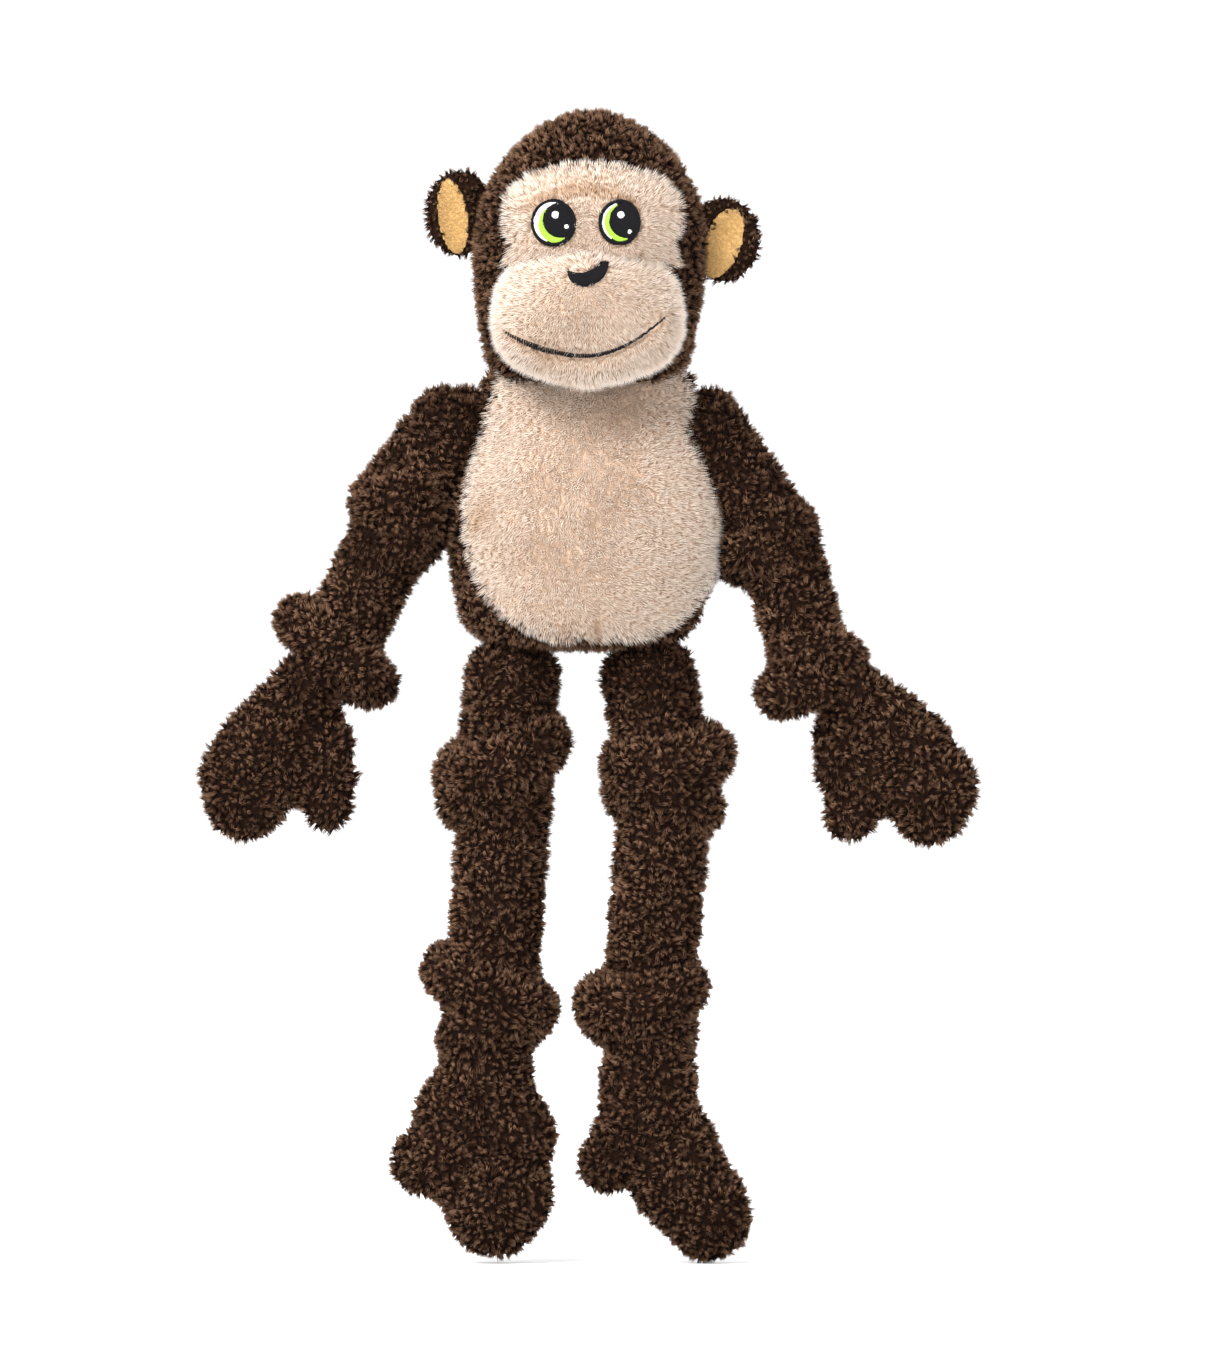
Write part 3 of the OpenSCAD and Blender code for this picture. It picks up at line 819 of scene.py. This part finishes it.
def embroider(brow, snout):
    for side, eye in eyes.items():
        across, up = eye["at"]
        wide, tall = eye["half"]
        low, high = (across - wide, up - tall), (across + wide, up + tall)

        def rim(x, z, inset=0.0):
            return math.hypot((x - across) / (wide - inset), (z - up) / (tall - inset)) < 1

        iris = circleTest(eye["at"], eye["iris"])
        pupil = circleTest(eye["at"], eye["pupil"])
        glints = [circleTest(eye["at"], spot) for spot in eye["glints"]]

        def glint(x, z):
            return any(test(x, z) for test in glints)

        def inner(x, z):  # inside the black outline
            return rim(x, z, stitch["outline"])

        under = rowsOf(rim, low, high, 0.0)
        laid = thread(f"{side}_eye_underlay", brow, under, "black", *stitch["eyeUnder"])
        finish(laid, "head", "black_thread")
        shapes = {
            "outline": (lambda x, z: rim(x, z) and not inner(x, z), "black"),
            "white": (lambda x, z: inner(x, z) and not iris(x, z), "white"),
            "iris": (lambda x, z: inner(x, z) and iris(x, z) and not pupil(x, z), "lime"),
            "pupil": (lambda x, z: inner(x, z) and pupil(x, z) and not glint(x, z), "black"),
            "glints": (lambda x, z: glint(x, z) and pupil(x, z), "white"),
        }
        for part, (shape, colour) in shapes.items():
            name = f"{side}_eye_{part}"
            rows = rowsOf(shape, low, high, math.radians(80))
            laid = thread(name + "_threads", brow, rows, colour, stitch["eyeProud"], stitch["thick"])
            finish(laid, "head", colour + "_thread", name)

    low, high = (-9, 37), (9, 49)
    rows = rowsOf(inNose, low, high, math.radians(84))
    under = rowsOf(inNose, low, high, 0.0)
    laid = thread("nose_embroidery_underlay", snout, under, "black", *stitch["noseUnder"])
    finish(laid, "head", "black_thread")
    laid = thread("nose_embroidery_threads", snout, rows, "black", stitch["noseProud"], stitch["thick"])
    finish(laid, "head", "black_thread", "nose_embroidery")

    smile = []
    half = stitch["mouthCount"]
    for index in range(-half, half + 1):
        across = muzzle["smileMiddle"] + muzzle["smileHalf"] * index / half
        tall = stitch["mouthTall"] * (1 - (abs(index) / half) ** 4) + stitch["mouthEnd"]
        up = smileHeight(across)
        smile.append((Vector((across - 0.15, up - tall)), Vector((across + 0.15, up + tall))))
    laid = thread("mouth_embroidery_threads", snout, smile, "black",
                  stitch["mouthProud"], stitch["mouthThick"])
    finish(laid, "head", "black_thread", "mouth_embroidery")


makeHead()
print("head made")


# Body: rings from the seat to the neck, in mm

body = {
    "rings": [(-115.5, 29, 15, 0), (-113, 42, 25, 0), (-106.5, 50, 31.5, 0), (-95, 53, 34.5, 0),
              (-80, 57, 36.5, 0), (-62, 58.5, 36.5, 0), (-48, 56.5, 34, 0), (-34, 52.5, 30, 0),
              (-20, 48.5, 24.5, 0), (-9, 46, 20.5, 0), (-2, 46.5, 18, 0), (3, 43, 16, 0), (6, 34, 12, 0)],
    "tummyTop": 6, "tummyWidest": -58, "tummyFoot": -112.5, "tummyHalf": 54.5, "tummyProud": 0.6,
    "creaseAt": -104, "creaseDeep": 0.4, "creaseShade": 0.60,
    "sway": -3.5, "pad": {"grain": 4.5, "cap": 1.2, "rounds": 4},
}


def swayAt(up):  # how far the body has slipped to one side at a height
    return body["sway"] * min(1.0, max(0.0, (-50 - up) / 55))


def inTummy(across, up, margin=0.0):
    if up > body["tummyTop"] + margin or up < body["tummyFoot"] - margin:
        return False
    aside = abs(across - 2.5 + 0.01 * (up + 60))
    above = up - body["tummyWidest"]
    if above < 0:
        half = body["tummyHalf"] * (1 - min(1.0, abs(above) / (57 + margin)) ** 2.5) ** (1 / 2.2)
    else:
        half = body["tummyHalf"] - 16 * min(1.0, above / 58) ** 1.6
    return aside < half + margin


def tummyCrease(place):  # a short upright fold low on the tummy
    aside = place.x - 3 - 0.03 * (place.z + 103)
    return math.exp(-(aside / 2.3) ** 2) * math.exp(-((place.z - body["creaseAt"]) / 10) ** 2)


def makeBody():
    skin = stack("body_skin", body["rings"])
    padOut(skin, body["pad"])
    for spot in skin.data.vertices:
        spot.co.x += swayAt(spot.co.z / mm) * mm
    panel = patch(skin, "tummy_panel_skin",
                  lambda place, facing: facing.y < 0.1 and inTummy(place.x / mm, place.z / mm),
                  body["tummyProud"])
    for spot in panel.data.vertices:
        spot.co.y += body["creaseDeep"] * mm * tummyCrease(spot.co / mm)

    def tummyLay(place):
        swirl = Vector((-(place.z + 40), 0, place.x)) * 0.006
        return Vector((place.x * 0.012, 0, -0.42 if place.z > -70 else -0.15)) + swirl

    # the tummy pile is painted darker in the low fold, as painted shade
    cover(panel, "torso", "beige", "tummy_panel", fill=0.8, lay=tummyLay, thick=panelThick,
          tint=lambda place: body["creaseShade"] * tummyCrease(place))
    cover(skin, "torso", "brown", "back_cover", "body_stuffing", fill=0.9,
          bare=lambda place: (place.y < 0 and inTummy(place.x, place.z, -1.5)) or place.z > 3.5)


makeBody()
print("body made")


# Ears: a round pad dished at the front, with a velour lining in the dish

ears = {  # half widths and heights in mm; edge is how far the skin stays inside the widest the ear may be
    "right": {"turn": -1, "wide": 15.0, "tall": 19.0, "up": 2.0, "edge": 4.6,
              "lining": (6.4, 16.0), "liningAt": (3.0, -1.5), "tilt": -8},
    "left": {"turn": 1, "wide": 16.5, "tall": 18.5, "up": 1.5, "edge": 0.2,
             "lining": (8.0, 15.5), "liningAt": (0.0, -1.5), "tilt": 20},
}
earShape = {"thick": 5.2, "dish": 3.6, "dishWide": 1.25, "grain": 2.2, "cap": 0.8, "liningProud": 0.5,
            "liningThick": 1.0, "pile": 0.8}


def makeEar(side):
    ear = ears[side]
    low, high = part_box(f"{side}_ear_back")
    middle = (low + high) / 2
    outer = high.x if ear["turn"] > 0 else low.x
    middle.x = outer - ear["turn"] * (ear["wide"] + ear["edge"]) * mm
    middle.z += ear["up"] * mm
    back = ball(middle, mm, (ear["wide"], earShape["thick"], ear["tall"]))
    back.name = f"{side}_ear_skin"
    back.data.name = back.name
    wide, tall = ear["lining"]
    aside, up = ear["liningAt"]
    tilt = math.radians(ear["tilt"])

    def inLining(place):  # below 1 inside the lining's outline
        across = place.x - middle.x - aside * ear["turn"] * mm
        rise = place.z - middle.z - up * mm
        return math.hypot((across * math.cos(tilt) - rise * math.sin(tilt)) / (wide * mm),
                          (across * math.sin(tilt) + rise * math.cos(tilt)) / (tall * mm))

    worked(back, "REMESH", mode="VOXEL", voxel_size=earShape["grain"] * mm)
    worked(back, "SMOOTH", factor=0.5, iterations=2)
    swell(back, earShape["cap"])
    for spot in back.data.vertices:
        far = inLining(spot.co)
        if spot.co.y < middle.y and far < earShape["dishWide"]:
            spot.co.y += earShape["dish"] * mm * (1 - (far / earShape["dishWide"]) ** 2)
    worked(back, "SUBSURF", levels=1, render_levels=1)
    bpy.ops.object.shade_smooth()
    lining = patch(back, f"{side}_ear_lining_skin",
                   lambda place, facing: facing.y < -0.2 and inLining(place) < 1, earShape["liningProud"])
    cover(lining, f"{side}_ear", "velour", f"{side}_ear_lining", fill=0.5, thick=earShape["liningThick"],
          lay=lambda place: (0.15, 0, 0.5))
    cover(back, f"{side}_ear", "brown", f"{side}_ear_back", fill=0.5, length=earShape["pile"],
          bare=lambda place: place.y * mm < middle.y and inLining(place * mm) < 0.98)


for side in ears:
    makeEar(side)
print("ears made")


# Neck and the gathered cloth at the tops of the limbs

gathers = {
    "rings": [(-1, 0.3), (-0.8, 0.62), (-0.3, 0.95), (0.3, 0.95), (0.8, 0.62), (1, 0.3)],  # height and width
    "pleats": 8, "pleatDeep": 0.035, "neck": 16.5, "arm": 10.5, "leg": 11.5,
}


def makeGather(node, body, middle, wide):
    rings = [(up * wide, wide * across, wide * across, 0) for up, across in gathers["rings"]]
    skin = stack(node + "_skin", rings, middle)
    for spot in skin.data.vertices:  # pleats where the cloth is drawn together
        out = spot.co - middle
        turn = math.atan2(out.y, out.x)
        spot.co = middle + out * (1 + gathers["pleatDeep"] * math.cos(turn * gathers["pleats"]))
    worked(skin, "SUBSURF", levels=1, render_levels=1)
    bpy.ops.object.shade_smooth()
    cover(skin, body, "brown", node, fill=0.5)


makeGather("neck", "neck", Vector((0, 0, 0)), gathers["neck"])
for side in ("left", "right"):
    makeGather(f"{side}_arm_gather", f"{side}_shoulder", jointAt[f"{side}_shoulder_swing"], gathers["arm"])
    makeGather(f"{side}_leg_gather", f"{side}_hip", jointAt[f"{side}_hip_swing"], gathers["leg"])
print("gathers made")


# Sleeves, knots, hands and feet, in mm from their joints

sleeveShape = {"ripples": 4, "ripple": 0.035, "flat": 0.96, "pad": {"grain": 3.6, "cap": 1.0, "rounds": 1},
               "shade": 0.34, "shadeReach": 25}
limbs = {
    "upper_sleeve": {"from": "shoulder_swing", "to": "elbow_bend", "body": "upper_arm", "wide": (17.8, 17.4),
                     "left": ((-5, 0, -5.5), (-9, 0, -4.5)), "right": ((-1.5, 0, -0.5), (2.5, 0, 3))},
    "lower_sleeve": {"from": "elbow_bend", "to": "wrist_bend", "body": "lower_arm", "wide": (17.0, 15.5),
                     "left": ((-8.5, 0, 0), (-3, 0, 0)), "right": ((6.5, 0, -1), (2.5, 0, 0))},
    "thigh_sleeve": {"from": "hip_swing", "to": "knee_bend", "body": "upper_leg", "wide": (19.0, 18.5),
                     "left": ((-5, 0, 0), (-1.5, 0, 0)), "right": ((-2, 0, 0), (0.5, 0, 0))},
    "shin_sleeve": {"from": "knee_bend", "to": "ankle_flex", "body": "lower_leg", "wide": (18.6, 18.4),
                    "left": ((-1, 0, 0), (3, 0, 0)), "right": ((2.5, 0, 0), (2.5, 0, 0))},
}
stuffingOf = {"thigh_sleeve": "thigh_stuffing", "shin_sleeve": "shin_stuffing"}
knotShape = {"core": 0.80, "pad": {"grain": 2.4, "cap": 0.5, "rounds": 1}, "shade": 0.34}
knots = {  # each band is its slant, tilt, reach, thickness and shift from the knot's middle
    "right_elbow_knot": {"at": "elbow_bend", "body": "upper_arm", "radius": 20.5, "shift": (7, 0, 4.5),
                         "bands": [(-35, 14, 0.66, 0.46, (-0.5, 0, 10)), (-50, -16, 0.58, 0.44, (7.5, 0, -11))]},
    "left_elbow_knot": {"at": "elbow_bend", "body": "upper_arm", "radius": 19.0, "shift": (-7.5, 0, -5),
                        "bands": [(28, 14, 0.62, 0.46, (-1, 0, 8)), (10, -18, 0.60, 0.45, (-6, 0, -12))]},
    "right_wrist_knot": {"at": "wrist_bend", "body": "lower_arm", "radius": 20.5, "shift": (5, 0, 1),
                         "bands": [(22, 12, 0.66, 0.48, (-5, 0, 9)), (30, -14, 0.60, 0.46, (4, 0, -7))]},
    "left_wrist_knot": {"at": "wrist_bend", "body": "lower_arm", "radius": 19.5, "shift": (-4.5, 0, -1.5),
                        "bands": [(-24, 10, 0.66, 0.48, (-1, 0, -6)), (12, -14, 0.62, 0.46, (4, 0, 6))]},
    "right_knee_knot": {"at": "knee_bend", "body": "upper_leg", "radius": 24.5, "shift": (0, 0, 1),
                        "bands": [(-24, 12, 0.76, 0.48, (0.5, 0, 6)), (-6, -16, 0.50, 0.46, (-3, 0, -12))]},
    "left_knee_knot": {"at": "knee_bend", "body": "upper_leg", "radius": 24.0, "shift": (-1.5, 0, -1),
                       "bands": [(-8, 12, 0.68, 0.50, (1, 0, 8)), (16, -16, 0.60, 0.48, (-1, 0, -10))]},
    "right_ankle_knot": {"at": "ankle_flex", "body": "lower_leg", "radius": 24.0, "shift": (2.5, 0, -0.5),
                         "bands": [(24, 12, 0.72, 0.47, (-2, 0, 8)), (-26, -14, 0.66, 0.46, (3, 0, -9))]},
    "left_ankle_knot": {"at": "ankle_flex", "body": "lower_leg", "radius": 23.5, "shift": (0, 0, 0),
                        "bands": [(-12, 12, 0.76, 0.47, (0, 0, 3)), (14, -16, 0.60, 0.46, (-1, 0, -9))]},
}
mittShape = {"pad": {"grain": 3.2, "cap": 1.0, "rounds": 4}}
mitts = {  # flattened balls, across, up and size; the stub is the part drawn into the knot
    "right_hand": {"at": "wrist_bend", "stub": 14.0, "flat": 0.56, "balls": [
        (-14, -17, 14), (-21, -29, 18), (-28, -41, 21), (-34, -53, 22), (-36, -62, 18), (-13, -51, 13.5),
        (-4, -30, 12.5), (1, -39, 12), (2, -53, 11.5), (0.5, -66, 10.5)]},
    "left_hand": {"at": "wrist_bend", "stub": 14.0, "flat": 0.56, "balls": [
        (20, -16, 14.5), (29, -27, 18.5), (39, -39, 21), (48, -53, 21), (48, -61, 17), (26, -52, 14),
        (8, -32, 12), (9, -46, 12), (13, -65, 12)]},
    "right_foot": {"at": "ankle_flex", "stub": 18.0, "flat": 0.70, "balls": [
        (1, -22, 20), (0, -36, 22), (-8, -50, 23), (9, -58, 22), (-26, -69, 15), (-14, -67, 19.5),
        (5, -82, 24.5), (4, -90, 20)]},
    "left_foot": {"at": "ankle_flex", "stub": 17.5, "flat": 0.70, "balls": [
        (4, -22, 19.5), (3, -35, 21.5), (3, -48, 21.5), (-8, -63, 15.5), (-15.5, -70, 12.5), (12, -64, 21.5),
        (17, -77, 22), (26, -88, 20), (29, -93, 18.5)]},
}


def underKnot(place, joint):  # cloth drawn in under a knot lies in its shade
    return sleeveShape["shade"] * math.exp(-((place - joint / mm).length / sleeveShape["shadeReach"]) ** 6)


def makeSleeve(side, part):
    limb = limbs[part]
    start = jointAt[f"{side}_{limb['from']}"] + Vector(limb[side][0]) * mm
    end = jointAt[f"{side}_{limb['to']}"] + Vector(limb[side][1]) * mm
    run = end - start
    length = run.length / mm
    near, far = limb["wide"]
    rings = [(7, near * 0.4, near * 0.4, 0), (4, near * 0.8, near * 0.8, 0)]
    count = 2 * sleeveShape["ripples"]
    for index in range(count + 1):
        wide = near + (far - near) * index / count
        wide *= 1 + sleeveShape["ripple"] * (1 if index % 2 else -1)
        rings.append((-length * index / count, wide, wide * sleeveShape["flat"], 0))
    rings += [(-length - 4, far * 0.8, far * 0.8, 0), (-length - 7, far * 0.4, far * 0.4, 0)]
    skin = stack(f"{side}_{part}_skin", rings, start, math.atan2(-run.x, -run.z))
    padOut(skin, sleeveShape["pad"])
    hidden = [(start / mm, 11.0 if part in ("upper_sleeve", "thigh_sleeve") else 15.0), (end / mm, 14.0)]
    filling = stuffingOf.get(part, part + "_stuffing")
    cover(skin, f"{side}_{limb['body']}", "brown", f"{side}_{part}", f"{side}_{filling}", fill=0.7,
          bare=lambda place: any((place - spot).length < reach for spot, reach in hidden),
          tint=lambda place: max(underKnot(place, start), underKnot(place, end)))


def makeKnot(name):
    shape = knots[name]
    side = name.split("_")[0]
    pivot = jointAt[f"{side}_{shape['at']}"]
    middle = pivot + Vector(shape["shift"]) * mm
    radius = shape["radius"] * mm
    parts = [ball(middle, radius * knotShape["core"])]
    for slant, tilt, reach, fat, shift in shape["bands"]:
        bpy.ops.object.select_all(action="DESELECT")
        bpy.ops.mesh.primitive_torus_add(
            location=middle + Vector(shift) * mm, rotation=(math.radians(tilt), math.radians(slant), 0),
            major_radius=radius * reach, minor_radius=radius * fat, major_segments=28, minor_segments=14)
        settle(bpy.context.object)
        parts.append(bpy.context.object)
    skin = joined(name + "_skin", parts)
    padOut(skin, knotShape["pad"])

    # painted shade: the pile in the folds between the lobes is painted darker
    def dip(place):  # the folds between the lobes are darker
        return knotShape["shade"] * min(1.0, max(0.0, 4 * (1 - (place * mm - middle).length / radius)))

    cover(skin, f"{side}_{shape['body']}", "brown", name, fill=0.8, tint=dip)


def makeMitt(name):  # a hand or a foot
    shape = mitts[name]
    side, part = name.split("_")
    pivot = jointAt[f"{side}_{shape['at']}"]
    parts = []
    for across, up, radius in shape["balls"]:
        parts.append(ball(pivot + Vector((across, 0, up)) * mm, radius * mm, (1, shape["flat"], 1)))
    across, up = Vector(shape["balls"][1][:2]) / 4
    parts += [ball(pivot + Vector((across, 0, up)) * step * mm, shape["stub"] * mm) for step in (1, 2)]
    skin = joined(f"{name}_skin", parts)
    padOut(skin, mittShape["pad"])
    cover(skin, f"{side}_{part}", "brown", f"{name}_cover", f"{name}_stuffing", fill=0.8,
          bare=lambda place: (place * mm - pivot).length < (shape["stub"] + 2) * mm,
          tint=lambda place: underKnot(place, pivot))


for side in ("left", "right"):
    for part in limbs:
        makeSleeve(side, part)
for name in mitts:
    makeMitt(name)
for name in knots:
    makeKnot(name)
print("limbs made")


# The floor and the air round it

studio = {"floorSize": 30, "floorDrop": 1 * mm, "floorDark": (0.88, 0.88, 0.88),
          "floorLight": (0.92, 0.92, 0.92), "clouds": 1.5, "rough": 0.9, "glow": 1.15}


def makeFloor():
    bpy.ops.object.select_all(action="DESELECT")
    bpy.ops.mesh.primitive_plane_add(size=studio["floorSize"],
                                     location=(0, 0, cadBox[0].z - studio["floorDrop"]))
    floor = bpy.context.object
    floor.name = "floor"
    material, recipe = newMaterial("pale floor", studio["floorLight"])
    place = recipe.node("ShaderNodeTexCoord").out("Object")
    cloud = recipe.node("ShaderNodeTexNoise", {}, {"Vector": place, "Scale": studio["clouds"], "Detail": 2.0})
    colour = recipe.node("ShaderNodeValToRGB", {"stops": [
        (0.3, studio["floorDark"]), (0.7, studio["floorLight"])]}, {"Fac": cloud})
    finishMaterial(recipe, Base_Color=colour, Roughness=studio["rough"])
    floor.data.materials.append(material)


def fillAir():
    air = bpy.data.worlds.new("soft air")
    air.use_nodes = True
    air.node_tree.nodes.clear()
    recipe = Recipe(air.node_tree)
    glow = recipe.node("ShaderNodeBackground", {}, {"Color": (1, 1, 1, 1), "Strength": studio["glow"]})
    recipe.node("ShaderNodeOutputWorld", {}, {"Surface": glow})
    scene.world = air
    scene.view_settings.view_transform = "Standard"


placeCamera()
placeLamps()
makeFloor()
fillAir()
print("scene lit")

for basket in baskets.values():  # the loose tufts aren't part of the toy
    for tuft in list(basket.objects):
        bpy.data.objects.remove(tuft)
    bpy.data.collections.remove(basket)

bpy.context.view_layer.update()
shown = [thing for thing in scene.objects if thing.type == "MESH" and not thing.hide_render]
triangles = sum(len(face.vertices) - 2 for thing in shown for face in thing.data.polygons)
print("finished", triangles, "triangles")
